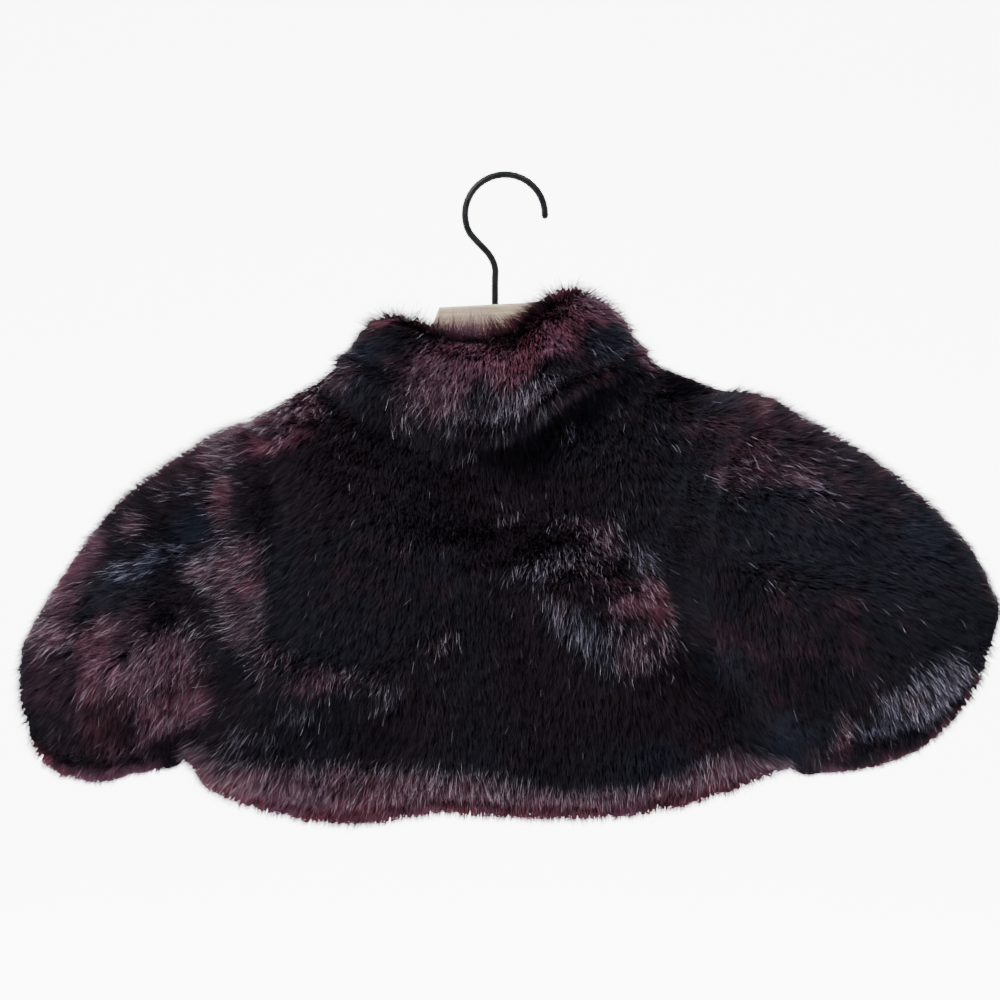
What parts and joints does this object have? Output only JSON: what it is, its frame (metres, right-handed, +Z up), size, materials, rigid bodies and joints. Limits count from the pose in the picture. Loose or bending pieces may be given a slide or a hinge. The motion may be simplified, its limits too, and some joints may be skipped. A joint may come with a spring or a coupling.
{
  "type": "faux fur shrug on a clothes hanger",
  "caption": "Child's cropped faux fur shrug with a turned-down collar and short wide sleeves, hanging on a wooden hanger with a wire hook.",
  "frame": {"origin": "underside of the hook's crown, where a rail or peg carries the hanger", "axes": "+Z up, +X to the wearer's right along the shoulders, +Y towards the garment's front and the wall it hangs against, so the back faces -Y"},
  "size_m": [0.5216, 0.1012, 0.3477],
  "materials": {
    "fur": "long soft pile in near-black, burgundy and navy, with pale glints on the hair tips",
    "fur_collar": "the same pile, redder over the middle of the collar",
    "wood": "pale, matt, fine straight grain",
    "wire": "black, half gloss"
  },
  "bodies": {
    "root": {"back": "fur", "front_left": "fur", "front_right": "fur", "sleeve_left": "fur", "sleeve_right": "fur", "collar": "fur_collar", "hanger_board": "wood", "hanger_hook": "wire"}
  },
  "joints": []
}
